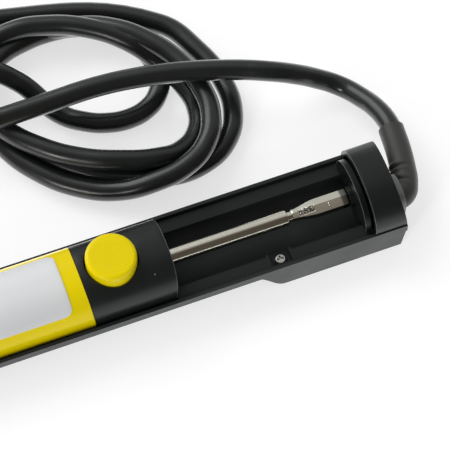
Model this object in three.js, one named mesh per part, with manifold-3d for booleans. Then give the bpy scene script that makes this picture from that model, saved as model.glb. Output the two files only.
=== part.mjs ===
// Mains-heated desoldering pump: a spring-driven suction cylinder with a heated nozzle,
// with its cord in a loose coil beside it.
// Millimetres. +X runs from the nozzle to the cord end, +Y to the side where the cord lies, +Z up.
// The origin is on the bench, under the tool's middle plane.
import * as THREE from "three";
import { mergeVertices } from "three/addons/utils/BufferGeometryUtils.js";
import Module from "manifold-3d";

const wasm = await Module();
wasm.setup();

// ---------------------------------------------------------------- driving dimensions
const gap = 0.3; // between pieces that touch

const overallLength = 240; // nozzle tip to the strain relief's boss
const tipFromOrigin = 120.5;
const axisHeight = 13.3; // suction axis above the bench

const rim = { width: 30, top: 12.2, depth: 3.2, thickness: 1.1 };
const ledgeTop = 9.8;
const belly = { width: 24.8, troughWidth: 21.6, floor: 2, flatDepth: 0.4 };
const shell = { width: 25.2, springLine: 11.2, rise: 12.8, wall: 1.8, squareness: 2.5, lean: 1.4, seamLean: 0.9 };
const rearShellLength = 25.5;
const windowLength = 63.8;
const cap = { length: 10.6, width: 29.2, rise: 11.8, squareness: 2.2, wall: 1.8, lean: 1.3 };
const rearPlate = { setBack: 1.7, thickness: 1.8, bossProud: 1.1, bossWidth: 11.8, bossHeight: 14, bossZ: 12.9 };
const bulge = { length: 49.5, width: 29.2, ramp: 10, wall: 2 };

const noseCap = { length: 7, wall: 1.6, rise: 12.6, bore: 6 };
const headSetBack = 4.7;
const flange = { radius: 10.6, bore: 5.4, thickness: 1, screwCircle: 8.6 };
const barrel = { radius: 6.4, wall: 0.5, length: 33, vents: 6, ventWidth: 1.8, ventLength: 9 };
const tipNut = { radius: 5.6, length: 6, skirt: 3 };
const nozzle = { length: 15, rootRadius: 3.3, tipRadius: 1.8, bore: 1.1, straight: 4 };
const heater = { radius: 4.4, bore: 2.6, length: 22, wire: 0.7, turns: 7 };

const cylinder = { radius: 8.4, wall: 0.9 };
const spring = { wire: 1.1, turns: 11, solidLength: 12.4 };
const piston = { length: 7.2, rodDepth: 5, sealWire: 1.5 };
const suctionTube = { radius: 2.1, bore: 1.5 };
const headLength = 5;
const bushLength = 3.4;

const rod = { radius: 2.5, neckRadius: 1.6, neckLength: 1.6 };
const rodBar = { length: 18, slim: 3.7, wide: 5.4, thickness: 3.6 };
const socket = { radius: 3.3, length: 1.4 };
const thumbPlate = { thickness: 2, width: 24.8, rise: 10.9, lobeWidth: 16.8, setBack: 0.5 };

const button = { radius: 8, wall: 1.5, proud: 3.3, skirt: 6.3, deck: 1.8, centreFromSeam: 9.5, travel: 3 };
const buttonSpring = { radius: 2.6, wire: 0.7, turns: 4 };
const catchPlate = { thickness: 1.2, width: 13, neckWidth: 4.4, below: 4.4 };
const bracket = { length: 8.8, wall: 1, width: 21, chamfer: 2.4 };

const channel = { width: 18.6, top: 10.9, floor: 6, wall: 1.2, endWall: 0.7 };
const pocket = { length: 8.2, fromWindow: 30, width: 4.2, floor: 7.5, wall: 0.8 };
const screwHead = { radius: 1.8, height: 1.4 };
const shankRadius = 1.1;
const caseScrew = { y: 8.7, headZ: 2.6, length: 12, bossRadius: 2, frontInset: 2.4, rearInset: 7 };

const wire = { radius: 0.7, spacing: 2.6, height: 3.2 };
const crimp = { radius: 0.9, length: 7, fromCap: 15 };
const clamp = { length: 4.2, thickness: 1.2, reach: 5.4, y: -4.4, z: 10, setBack: 4.6 };

const label = { endInset: 6.3, length: 62, skin: 0.25, from: 52, to: 146 };

const cordRadius = 3.3;
const sleeveRadius = 4;
// The strain relief turns towards +Y as soon as it leaves the case.
const sleevePoints = [
  [115.3, -4.6, 11.6], [116.9, -4.6, 11.8], [118.8, -4.6, 12], [121.1, -4.2, 12], [124.1, -0.6, 11.8],
  [125.6, 4, 11.5], [126.2, 11, 11], [126.7, 19, 10.4],
];
// From the strain relief the cord drops to the bench, climbs over the coil and turns back into it.
const cordRun = [
  [126.8, 20.1, 10.2], [126.4, 24, 9.5], [125.6, 28, 8.6], [123.3, 34.7, 6.2], [118.5, 41.9, 5.1],
  [111.3, 45.5, 8.5], [104.7, 47, 12.6], [96.5, 48.9, 16.2], [88.8, 52.1, 16.5], [81, 54.9, 16.5],
  [73.2, 57.3, 16.5], [65.3, 59.3, 16.5], [55.6, 61, 16.5], [47.5, 61.9, 16.5], [39.2, 62.2, 16.5],
  [30.8, 62.2, 16.2], [22.5, 62.2, 16], [14.5, 62.3, 15.8], [4, 62.6, 15.2], [-5, 64.2, 14],
  [-13.5, 67.8, 12.6], [-20.5, 73.5, 11.4], [-24.6, 81.5, 10.6], [-24.4, 90.5, 10.3], [-19.6, 98.5, 8.4],
  [-11.5, 103.8, 6.2], [-2, 106.2, 4.4], [6.5, 106, 3.5], [11, 104.6, 3.4],
];
const coil = { x: 46, y: 65, tilt: -39.7, long: 46.5, short: 31.5, holeLong: 14, holeShort: 10, top: 12.2 };
const plugLead = [
  [5, 86, 3.4], [-3, 87.2, 3.4], [-12, 88, 3.4], [-21, 88, 3.4], [-30, 88, 3.4], [-38, 88, 5.7],
  [-44.5, 88, 11.6], [-49.5, 88, 16.6], [-52.8, 88, 18.4], [-55.9, 88, 18.7],
];
const plug = { frontX: -56.3, y: 88, z: 18.7, radius: 18.5, neckRadius: 5.4, neckLength: 9, length: 34 };
const plugPin = { radius: 2.4, length: 19, spacing: 19, seat: 6 };
const earthClip = { width: 7, thickness: 0.8, length: 9 };

const roundSides = 26;

// ---------------------------------------------------------------- stations along X
const tipX = -tipFromOrigin;
const rearX = tipX + overallLength;
const capRearX = rearX - rearPlate.bossProud;
const capFrontX = capRearX - cap.length;
const windowFrontX = capFrontX - windowLength;
const seamX = windowFrontX - rearShellLength;
const trayRearX = capRearX - gap;
const bulgeFrontX = trayRearX - bulge.length;

const nozzleRootX = tipX + nozzle.length;
const barrelFrontX = nozzleRootX - 2;
const barrelRearX = barrelFrontX + barrel.length;
const flangeFrontX = barrelRearX + gap;
const noseFrontX = flangeFrontX + flange.thickness + gap;
const caseFrontX = noseFrontX + noseCap.length;
const heaterRearX = barrelRearX - 6;
const heaterFrontX = heaterRearX - heater.length;

const plateFrontX = capFrontX - thumbPlate.setBack - thumbPlate.thickness;
const barRearX = plateFrontX - socket.length;
const barFrontX = barRearX - rodBar.length;
const rodRearX = barFrontX - rod.neckLength;
const neckX = (rodRearX + barFrontX) / 2;

const buttonX = seamX + button.centreFromSeam;
const buttonTop = shell.springLine + shell.rise + button.proud;
const buttonDeckLow = buttonTop - button.deck;
const buttonSkirtLow = buttonTop - button.skirt;
const catchX = buttonX + button.radius - button.wall - 0.6 - catchPlate.thickness / 2;
const bracketRearX = catchX - catchPlate.thickness / 2 - gap;
const bracketTop = axisHeight + rod.radius + 0.6 + bracket.wall;

// The catch drops into the rod's neck at the end of the stroke.
const stroke = neckX - catchX;

const headFrontX = caseFrontX + headSetBack;
const headRearX = headFrontX + headLength;
const pistonFrontX = headRearX + gap + spring.solidLength + stroke;
const pistonRearX = pistonFrontX + piston.length;
const bushFrontX = pistonRearX + gap;
const bushRearX = bushFrontX + bushLength;
const insideCylinder = cylinder.radius - cylinder.wall - gap;

const rimBottom = rim.top - rim.depth;
const skirtLow = ledgeTop + gap;
const capBase = rim.top + gap;
const pocketFrontX = windowFrontX + pocket.fromWindow;
const channelScrewX = pocketFrontX + pocket.length / 2;
const channelScrewY = channel.width / 2 + 1.5;
const clampX = capFrontX + clamp.setBack;

// ---------------------------------------------------------------- finishes
const finishes = {
  yellowPlastic: [0xddcd05, 0.38, 0],
  blackPlastic: [0x1b1d1e, 0.4, 0],
  paleLabel: [0xdcdede, 0.45, 0],
  nickel: [0xbeb4a5, 0.28, 1],
  zinc: [0xa9a9a4, 0.35, 1],
  steel: [0x9a9a98, 0.35, 1],
  springSteel: [0x6f7072, 0.4, 1],
  aluminium: [0xb4b6b8, 0.4, 1],
  brass: [0xb08d48, 0.35, 1],
  ceramic: [0xe6e0d2, 0.7, 0],
  rubber: [0x2a2b2b, 0.7, 0],
  copper: [0x7d7469, 0.45, 1],
  brownWire: [0x5b3a22, 0.5, 0],
  blueWire: [0x1d4f9a, 0.5, 0],
  greenWire: [0x5f9a2a, 0.5, 0],
};

const part = new THREE.Group();

function addPiece(name, geometry, finish) {
  const [color, roughness, metalness] = finishes[finish];
  const mesh = new THREE.Mesh(geometry, new THREE.MeshStandardMaterial({ color, roughness, metalness }));
  mesh.name = name;
  part.add(mesh);
}

// ---------------------------------------------------------------- booleans
function toSolid(geometry) {
  const plain = geometry.index ? geometry.toNonIndexed() : geometry.clone();
  plain.deleteAttribute("normal");
  plain.deleteAttribute("uv");
  const merged = mergeVertices(plain, 1e-4);
  const index = merged.index.array;
  const triVerts = [];
  for (let i = 0; i < index.length; i += 3) {
    const [a, b, c] = [index[i], index[i + 1], index[i + 2]];
    if (a !== b && b !== c && c !== a) triVerts.push(a, b, c);
  }
  const vertProperties = merged.attributes.position.array;
  return new wasm.Manifold(new wasm.Mesh({ numProp: 3, vertProperties, triVerts: new Uint32Array(triVerts) }));
}

function toGeometry(solid) {
  const mesh = solid.getMesh();
  const geometry = new THREE.BufferGeometry();
  geometry.setAttribute("position", new THREE.BufferAttribute(mesh.vertProperties, 3));
  geometry.setIndex(new THREE.BufferAttribute(mesh.triVerts, 1));
  return geometry;
}

function join(...geometries) {
  return toGeometry(geometries.map(toSolid).reduce((whole, next) => whole.add(next)));
}

function cut(body, ...tools) {
  return toGeometry(tools.map(toSolid).reduce((left, tool) => left.subtract(tool), toSolid(body)));
}

function keepInside(body, limit) {
  return toGeometry(toSolid(body).intersect(toSolid(limit)));
}

// ---------------------------------------------------------------- basic shapes
function outlineShape(points) {
  const distinct = points.filter(([u, v], i) => {
    const [pu, pv] = points[(i + points.length - 1) % points.length];
    return Math.hypot(u - pu, v - pv) > 1e-6;
  });
  return new THREE.Shape(distinct.map(([u, v]) => new THREE.Vector2(u, v)));
}

// A profile of [y, z] points pushed along X. An end may lean, as a function of the height.
function alongX(profile, fromX, toX) {
  const geometry = new THREE.ExtrudeGeometry(outlineShape(profile), { depth: 1, bevelEnabled: false, steps: 1 });
  const front = typeof fromX === "function" ? fromX : () => fromX;
  const rear = typeof toX === "function" ? toX : () => toX;
  const place = geometry.attributes.position;
  for (let i = 0; i < place.count; i++) {
    const [y, z, depth] = [place.getX(i), place.getY(i), place.getZ(i)];
    place.setXYZ(i, THREE.MathUtils.lerp(front(z), rear(z), depth), y, z);
  }
  return geometry;
}

// An outline of [x, z] points pushed along Y, centred on the middle plane.
function alongY(outline, width) {
  const geometry = new THREE.ExtrudeGeometry(outlineShape(outline), { depth: width, bevelEnabled: false, steps: 1 });
  geometry.rotateX(Math.PI / 2);
  return geometry.translate(0, width / 2, 0);
}

// A profile of [x, radius] points turned about a line along X.
function turnedX(profile, y = 0, z = axisHeight, sides = roundSides) {
  const geometry = new THREE.LatheGeometry(profile.map(([x, r]) => new THREE.Vector2(r, x)), sides);
  geometry.rotateZ(-Math.PI / 2);
  return geometry.translate(0, y, z);
}

// A profile of [radius, z] points turned about a vertical line.
function turnedZ(profile, x, y, sides = roundSides) {
  const geometry = new THREE.LatheGeometry(profile.map(([r, z]) => new THREE.Vector2(r, z)), sides);
  geometry.rotateX(Math.PI / 2);
  return geometry.translate(x, y, 0);
}

function rodX(fromX, toX, radius, y = 0, z = axisHeight, sides = roundSides) {
  return turnedX([[fromX, 0], [fromX, radius], [toX, radius], [toX, 0]], y, z, sides);
}

function tubeX(fromX, toX, radius, bore, sides = roundSides) {
  return turnedX([[fromX, bore], [fromX, radius], [toX, radius], [toX, bore], [fromX, bore]], 0, axisHeight, sides);
}

function postZ(x, y, fromZ, toZ, radius, sides = 14) {
  return turnedZ([[0, fromZ], [radius, fromZ], [radius, toZ], [0, toZ]], x, y, sides);
}

function block(fromX, toX, fromY, toY, fromZ, toZ) {
  const geometry = new THREE.BoxGeometry(toX - fromX, toY - fromY, toZ - fromZ);
  return geometry.translate((fromX + toX) / 2, (fromY + toY) / 2, (fromZ + toZ) / 2);
}

// A round section pushed along a smooth curve through the points.
function tubeAlong(points, radius, steps, sides) {
  const curve = new THREE.CatmullRomCurve3(points.map((point) => new THREE.Vector3(...point)));
  curve.arcLengthDivisions = steps * 6;
  const section = new THREE.EllipseCurve(0, 0, radius, radius, 0, 2 * Math.PI).getPoints(sides).slice(0, sides);
  return new THREE.ExtrudeGeometry(new THREE.Shape(section), { steps, extrudePath: curve, bevelEnabled: false });
}

// A helix about the X axis from x = 0 to the length.
function coilSpring(length, meanRadius, wireSize, turns, stepsPerTurn, sides = 5) {
  const points = [];
  const steps = turns * stepsPerTurn;
  for (let i = 0; i <= steps; i++) {
    const angle = (2 * Math.PI * i) / stepsPerTurn;
    const x = wireSize / 2 + ((length - wireSize) * i) / steps;
    points.push([x, meanRadius * Math.cos(angle), meanRadius * Math.sin(angle)]);
  }
  return tubeAlong(points, wireSize / 2, steps, sides);
}

// ---------------------------------------------------------------- cross-sections
// A rounded arch from +half over the top to -half.
function arch(half, base, rise, squareness, points = 24) {
  const outline = [];
  for (let i = 0; i <= points; i++) {
    const angle = (Math.PI * i) / points;
    const side = Math.sign(Math.cos(angle)) * Math.abs(Math.cos(angle)) ** (2 / squareness);
    outline.push([half * side, base + rise * Math.sin(angle) ** (2 / squareness)]);
  }
  return outline;
}

// The lower half of an ellipse from -half under to +half, cut flat at the lowest height.
function bowl(half, top, depth, lowest = -100, points = 18) {
  const outline = [];
  for (let i = 0; i <= points; i++) {
    const angle = (Math.PI * i) / points;
    outline.push([-half * Math.cos(angle), Math.max(lowest, top - depth * Math.sin(angle))]);
  }
  return outline;
}

function shellOutline(inset, low = skirtLow) {
  const half = shell.width / 2 - inset;
  return [[half, low], ...arch(half, shell.springLine, shell.rise - inset, shell.squareness), [-half, low]];
}

function capOutline(inset) {
  return arch(cap.width / 2 - inset, capBase, cap.rise - inset, cap.squareness);
}

function mirrorY(places) {
  return places.flatMap(([x, y]) => [[x, -y], [x, y]]);
}

const leaning = (x, amount) => (z) => x + (amount * (z - skirtLow)) / (shell.springLine + shell.rise - skirtLow);

const frontCaseScrews = mirrorY([[caseFrontX + caseScrew.frontInset, caseScrew.y]]);
const rearCaseScrews = mirrorY([[windowFrontX - caseScrew.rearInset, caseScrew.y]]);
const channelScrews = [[channelScrewX, -channelScrewY]];
const clampScrews = [[clampX, clamp.y - clamp.reach], [clampX, clamp.y + clamp.reach]];

// ---------------------------------------------------------------- lower tray
// The hollow of the tray: the trough, less the posts, saddles and seats that stand in it.
function trayHollow() {
  const half = belly.troughWidth / 2;
  const open = [[half, rim.top + 1], [-half, rim.top + 1]];
  const section = [...bowl(half, ledgeTop, ledgeTop - belly.floor), ...open];
  const trough = alongX(section, caseFrontX - 1, trayRearX - bulge.wall);
  const wellHalf = bulge.width / 2 - bulge.wall;
  const well = block(capFrontX + 0.8, trayRearX - bulge.wall, -wellHalf, wellHalf, 4, ledgeTop + 1);
  const standing = [];
  for (const [x, y] of [...frontCaseScrews, ...rearCaseScrews]) {
    standing.push(postZ(x, y, -1, ledgeTop, caseScrew.bossRadius + 1));
  }
  for (const [x, y] of channelScrews) standing.push(postZ(x, y, -1, channel.floor, shankRadius + 1.3));
  for (const [x, y] of clampScrews) standing.push(postZ(x, y, -1, clamp.z + cordRadius + 0.1, shankRadius + 0.9));
  for (const x of [headRearX + 8, bushFrontX - 8]) {
    for (const side of [-1, 1]) {
      const [near, far] = [5 * side, (half + 1) * side].sort((a, b) => a - b);
      standing.push(block(x, x + 3, near, far, -1, ledgeTop));
    }
  }
  for (const side of [-1, 1]) {
    const [near, far] = [(bracket.width / 2 - bracket.wall - 0.6) * side, (half + 1) * side].sort((a, b) => a - b);
    standing.push(block(bracketRearX - bracket.length, bracketRearX, near, far, -1, ledgeTop));
  }
  const saddleTop = clamp.z - cordRadius - gap;
  standing.push(block(clampX - clamp.length / 2, clampX + clamp.length / 2, clamp.y - 3, clamp.y + 3, -1, saddleTop));
  return cut(join(trough, well), ...standing);
}

function makeLowerTray() {
  const half = rim.width / 2;
  const under = bowl(belly.width / 2, rimBottom, rimBottom + belly.flatDepth, 0);
  const body = alongX([[-half, rim.top], [-half, rimBottom], ...under, [half, rimBottom], [half, rim.top]],
    caseFrontX, trayRearX);

  const ramp = [];
  for (let i = 0; i <= 10; i++) {
    const t = i / 10;
    ramp.push([bulgeFrontX + bulge.ramp * t, rimBottom * 0.5 * (1 + Math.cos(Math.PI * t))]);
  }
  const rearHeel = [[trayRearX - 1.4, 0], [trayRearX, rimBottom + 0.5], [bulgeFrontX, rimBottom + 0.5]];
  const bulgeBlock = alongY([...ramp, ...rearHeel], bulge.width);

  const rimInner = half - rim.thickness;
  const aboveLedge = block(caseFrontX - 1, trayRearX + 1, -rimInner, rimInner, ledgeTop, rim.top + 1);
  const cutters = [trayHollow(), rodX(headFrontX - gap, bushRearX + gap, cylinder.radius + gap)];
  cutters.push(rodX(trayRearX - 4, trayRearX + 1, sleeveRadius + gap + 0.1, sleevePoints[1][1], 11.8));
  for (const [x, y] of [...frontCaseScrews, ...rearCaseScrews]) {
    cutters.push(postZ(x, y, -1, caseScrew.headZ + screwHead.height + gap, screwHead.radius + gap));
    cutters.push(postZ(x, y, -1, ledgeTop + 1, shankRadius + gap, 10));
  }
  for (const [x, y] of channelScrews) cutters.push(postZ(x, y, 3, ledgeTop + 1, shankRadius + gap, 10));
  for (const [x, y] of clampScrews) cutters.push(postZ(x, y, 3, rim.top + 3, shankRadius + gap, 10));
  const pocketEnd = pocketFrontX + pocket.length;
  cutters.push(block(pocketFrontX - gap, pocketEnd + gap, ...pocketSides(gap), pocket.floor - gap, rim.top));
  const clampPosts = clampScrews.map(([x, y]) => postZ(x, y, 3, clamp.z + cordRadius + 0.1, shankRadius + 0.9));
  const solid = join(cut(join(body, bulgeBlock), aboveLedge), ...clampPosts);
  return cut(solid, ...cutters);
}

// The screw pocket breaks into the ledge on the -Y side only.
function pocketSides(grow = 0) {
  const inner = channel.width / 2 - pocket.wall - grow;
  const outer = channel.width / 2 + pocket.width + grow;
  return [-outer, -inner];
}

// ---------------------------------------------------------------- shells, cap, plate and nose
function shellPiece(fromX, toX, screws) {
  const body = alongX([...shellOutline(0), ...shellOutline(shell.wall).reverse()], fromX, toX);
  const bosses = screws.map(([x, y]) => postZ(x, y, skirtLow, skirtLow + 6.5, caseScrew.bossRadius));
  const inside = keepInside(join(body, ...bosses), alongX(shellOutline(0), fromX, toX));
  return cut(inside, ...screws.map(([x, y]) => postZ(x, y, skirtLow - 1, skirtLow + 5.4, shankRadius + gap, 10)));
}

function makeRearShell() {
  const body = shellPiece(leaning(seamX, -shell.seamLean), leaning(windowFrontX, shell.lean), rearCaseScrews);
  return cut(body, postZ(buttonX, 0, shell.springLine + 4, buttonTop, button.radius + gap, roundSides));
}

function makeEndCap() {
  const rear = (z) => capRearX - gap - (cap.lean * (z - capBase)) / cap.rise;
  return alongX([...capOutline(0), ...capOutline(cap.wall).reverse()], capFrontX, rear);
}

// The plate that closes the cap is set in flush and carries a rounded boss for the strain relief.
function makeRearPlate() {
  const half = cap.width / 2 - cap.wall - gap;
  const rise = cap.rise - cap.wall - gap;
  const outline = [[half, ledgeTop + gap], ...arch(half, capBase, rise, cap.squareness), [-half, ledgeTop + gap]];
  const rear = capRearX - rearPlate.setBack;
  const plate = alongX(outline, rear - rearPlate.thickness, rear);
  const boss = (inset) => {
    const points = [];
    for (let i = 0; i < 28; i++) {
      const angle = (2 * Math.PI * i) / 28;
      const [across, up] = [Math.cos(angle), Math.sin(angle)].map((v) => Math.sign(v) * Math.abs(v) ** (2 / 3));
      points.push([
        sleevePoints[1][1] + (rearPlate.bossWidth / 2 - inset) * across,
        rearPlate.bossZ + (rearPlate.bossHeight / 2 - inset) * up,
      ]);
    }
    return points;
  };
  const neck = keepInside(alongX(boss(0), rear - 0.5, capRearX + 0.2), alongX(outline, rear - 1, capRearX + 1));
  const layers = [[0, 0.5], [0.3, 0.2], [0.7, 0]].map(([inset, below]) => alongX(boss(inset), capRearX, rearX - below));
  return cut(join(plate, neck, ...layers), rodX(rear - 4, rearX + 1, sleeveRadius + 1.2, sleevePoints[1][1], 11.7));
}

function makeNoseCap() {
  const half = rim.width / 2;
  const outline = (inset) => [
    ...arch(half - inset, rim.top, noseCap.rise - inset, shell.squareness),
    ...bowl(half - inset, rim.top, rim.top - inset, 0.4),
  ];
  const body = alongX(outline(0), noseFrontX, caseFrontX - gap);
  const hollow = alongX(outline(noseCap.wall), noseFrontX + noseCap.wall, caseFrontX + 1);
  const holes = flangeScrewPlaces().map(([y, z]) => rodX(noseFrontX - 1, noseFrontX + 3, shankRadius + gap, y, z, 12));
  return cut(body, hollow, rodX(noseFrontX - 1, noseFrontX + 3, noseCap.bore), ...holes);
}

function makeLabel() {
  const rear = seamX - label.endInset;
  const strip = (lift) => {
    const points = [];
    for (let i = 0; i <= 16; i++) {
      const angle = THREE.MathUtils.degToRad(THREE.MathUtils.lerp(label.from, label.to, i / 16));
      const side = Math.sign(Math.cos(angle)) * Math.abs(Math.cos(angle)) ** (2 / shell.squareness);
      const up = Math.sin(angle) ** (2 / shell.squareness);
      points.push([(shell.width / 2 + lift) * side, shell.springLine + (shell.rise + lift) * up]);
    }
    return points;
  };
  return alongX([...strip(gap + label.skin), ...strip(gap).reverse()], rear - label.length, rear);
}

// ---------------------------------------------------------------- cylinder, piston and plunger
function makeCylinderHead() {
  const bore = suctionTube.radius + gap;
  const lip = headFrontX + 1.6;
  return turnedX([
    [headFrontX, bore], [headFrontX, cylinder.radius], [lip, cylinder.radius], [lip, insideCylinder],
    [headRearX, insideCylinder], [headRearX, bore], [headFrontX, bore],
  ]);
}

function makeRearBush() {
  const bore = rod.radius + gap;
  const lip = bushRearX - 1 + gap;
  return turnedX([
    [bushFrontX, bore], [bushFrontX, insideCylinder], [lip, insideCylinder], [lip, cylinder.radius],
    [bushRearX, cylinder.radius], [bushRearX, bore], [bushFrontX, bore],
  ]);
}

function makePiston() {
  const middle = (pistonFrontX + pistonRearX) / 2;
  const grooveHalf = piston.sealWire / 2 + 0.2;
  const groove = insideCylinder - piston.sealWire - 0.1;
  const rodSeat = pistonRearX - piston.rodDepth;
  return turnedX([
    [pistonFrontX, 0], [pistonFrontX, insideCylinder], [middle - grooveHalf, insideCylinder],
    [middle - grooveHalf, groove], [middle + grooveHalf, groove], [middle + grooveHalf, insideCylinder],
    [pistonRearX - 1.6, insideCylinder], [pistonRearX - 1.6, rod.radius + 2], [pistonRearX, rod.radius + 2],
    [pistonRearX, rod.radius + gap], [rodSeat, rod.radius + gap], [rodSeat, 0],
  ]);
}

function makePistonSeal() {
  const middle = (pistonFrontX + pistonRearX) / 2;
  const radius = piston.sealWire / 2;
  const centre = insideCylinder + 0.15 - radius;
  const ring = [];
  for (let i = 0; i <= 8; i++) {
    const angle = (2 * Math.PI * i) / 8;
    ring.push([middle - radius * Math.cos(angle), centre + radius * Math.sin(angle)]);
  }
  return turnedX(ring);
}

function makePlungerRod() {
  const front = pistonRearX - piston.rodDepth + gap;
  return turnedX([
    [front, 0], [front, rod.radius], [rodRearX - 0.4, rod.radius], [rodRearX, rod.radius - 0.4],
    [rodRearX, rod.neckRadius], [barFrontX - gap, rod.neckRadius], [barFrontX - gap, 0],
  ]);
}

// The bar's section has cut corners and widens towards the thumb plate.
function makeRodBar() {
  const tall = rodBar.thickness / 2;
  const wide = rodBar.wide / 2;
  const corner = 0.7;
  const section = [
    [-wide, tall - corner], [-wide, corner - tall], [corner - wide, -tall], [wide - corner, -tall],
    [wide, corner - tall], [wide, tall - corner], [wide - corner, tall], [corner - wide, tall],
  ];
  const geometry = alongX(section.map(([y, z]) => [y, z + axisHeight]), barFrontX, barRearX);
  const place = geometry.attributes.position;
  for (let i = 0; i < place.count; i++) {
    if (place.getX(i) < barFrontX + 1) place.setY(i, (place.getY(i) * rodBar.slim) / rodBar.wide);
  }
  return geometry;
}

// A thin plate: an arch above the ledges, a lobe in the channel and the socket of the bar.
function makeThumbPlate() {
  const low = channel.top + gap + 0.2;
  const upper = arch(thumbPlate.width / 2, low, thumbPlate.rise, 2.2, 20);
  const lobe = bowl(thumbPlate.lobeWidth / 2, low, low - channel.floor - 0.8, -100, 14);
  const disc = alongX([...upper, ...lobe], plateFrontX, plateFrontX + thumbPlate.thickness);
  return join(disc, rodX(barRearX + gap, plateFrontX + 0.5, socket.radius, 0, axisHeight, 24));
}

// ---------------------------------------------------------------- release button and catch
function makeReleaseButton() {
  const inside = button.radius - button.wall;
  return turnedZ([
    [0, buttonDeckLow], [inside, buttonDeckLow], [inside, buttonSkirtLow], [button.radius, buttonSkirtLow],
    [button.radius, buttonTop - 1.2], [button.radius - 0.35, buttonTop - 0.35], [button.radius - 1.2, buttonTop],
    [0, buttonTop],
  ], buttonX, 0, 32);
}

// The catch plate hangs under the button and straddles the rod through a slot.
function makeCatchPlate() {
  const half = catchPlate.width / 2;
  const neck = catchPlate.neckWidth / 2;
  const top = buttonDeckLow - gap;
  const shoulder = buttonSkirtLow - gap;
  const low = axisHeight - catchPlate.below;
  const slot = rod.radius + 0.4;
  const outline = [[-half, low], [half, low], [half, shoulder], [neck, shoulder], [neck, top],
    [-neck, top], [-neck, shoulder], [-half, shoulder]];
  const front = catchX - catchPlate.thickness / 2;
  const plate = alongX(outline, front, front + catchPlate.thickness);
  return cut(plate, block(front - 1, front + 3, -slot, slot, axisHeight - slot, axisHeight + slot + button.travel));
}

function makeCatchBracket() {
  const half = bracket.width / 2;
  const inside = half - bracket.wall;
  const { wall, chamfer } = bracket;
  const outline = [
    [-half, skirtLow], [-inside, skirtLow], [-inside, bracketTop - wall - chamfer],
    [chamfer - inside, bracketTop - wall], [inside - chamfer, bracketTop - wall],
    [inside, bracketTop - wall - chamfer], [inside, skirtLow], [half, skirtLow],
    [half, bracketTop - chamfer - 0.5], [half - chamfer - 0.5, bracketTop],
    [chamfer + 0.5 - half, bracketTop], [-half, bracketTop - chamfer - 0.5],
  ];
  return alongX(outline, bracketRearX - bracket.length, bracketRearX);
}

function makeButtonSpring() {
  const from = bracketTop + gap;
  const helix = coilSpring(buttonDeckLow - gap - from, buttonSpring.radius, buttonSpring.wire, buttonSpring.turns, 12);
  helix.rotateY(-Math.PI / 2);
  return helix.translate(buttonX - 0.6, 0, from);
}

// ---------------------------------------------------------------- heated nose
function flangeScrewPlaces() {
  return [0, 1, 2].map((i) => {
    const angle = Math.PI / 2 + (i * 2 * Math.PI) / 3;
    return [flange.screwCircle * Math.cos(angle), axisHeight + flange.screwCircle * Math.sin(angle)];
  });
}

function makeBarrel() {
  const vents = [];
  const middle = (barrelFrontX + barrelRearX) / 2 + 4;
  for (let i = 0; i < barrel.vents; i++) {
    const vent = block(middle - barrel.ventLength / 2, middle + barrel.ventLength / 2,
      -barrel.ventWidth / 2, barrel.ventWidth / 2, barrel.radius - 2, barrel.radius + 2);
    vents.push(vent.rotateX((2 * Math.PI * (i + 0.5)) / barrel.vents).translate(0, 0, axisHeight));
  }
  return cut(tubeX(barrelFrontX, barrelRearX, barrel.radius, barrel.radius - barrel.wall), ...vents);
}

function makeFlange() {
  const disc = tubeX(flangeFrontX, flangeFrontX + flange.thickness, flange.radius, flange.bore);
  return cut(disc, ...flangeScrewPlaces().map(([y, z]) => rodX(flangeFrontX - 1, noseFrontX, shankRadius + gap, y, z, 12)));
}

// The nozzle's root fits over the suction tube. Its front is a cone with a fine bore.
function makeNozzle() {
  const seat = suctionTube.radius + gap;
  return turnedX([
    [tipX, nozzle.bore], [tipX, nozzle.tipRadius], [nozzleRootX - nozzle.straight, nozzle.rootRadius],
    [nozzleRootX, nozzle.rootRadius], [nozzleRootX, seat], [nozzleRootX - 3, seat],
    [nozzleRootX - 3, nozzle.bore], [tipX, nozzle.bore],
  ]);
}

// The nut closes the front of the barrel round the nozzle's root.
function makeTipNut() {
  const front = barrelFrontX - gap - 2;
  const inBarrel = barrel.radius - barrel.wall - gap;
  const bore = nozzle.rootRadius + gap;
  return turnedX([
    [front, bore], [front, tipNut.radius], [front + 0.7, barrel.radius], [barrelFrontX - gap, barrel.radius],
    [barrelFrontX - gap, inBarrel], [barrelFrontX + tipNut.skirt, inBarrel], [barrelFrontX + tipNut.skirt, bore],
    [front, bore],
  ]);
}

// ---------------------------------------------------------------- screws
// Each is drawn pointing up from the middle of its head, then turned and placed.
function makeScrew(length, recessed = true) {
  const { radius, height } = screwHead;
  const body = turnedZ([[0, 0], [radius - 0.4, 0], [radius, 0.4], [radius, height], [shankRadius, height],
    [shankRadius, height + length], [0, height + length]], 0, 0, 14);
  if (!recessed) return body;
  const reach = radius * 0.58;
  return cut(body, block(-reach, reach, -0.28, 0.28, -1, 0.7), block(-0.28, 0.28, -reach, reach, -1, 0.7));
}

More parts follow.
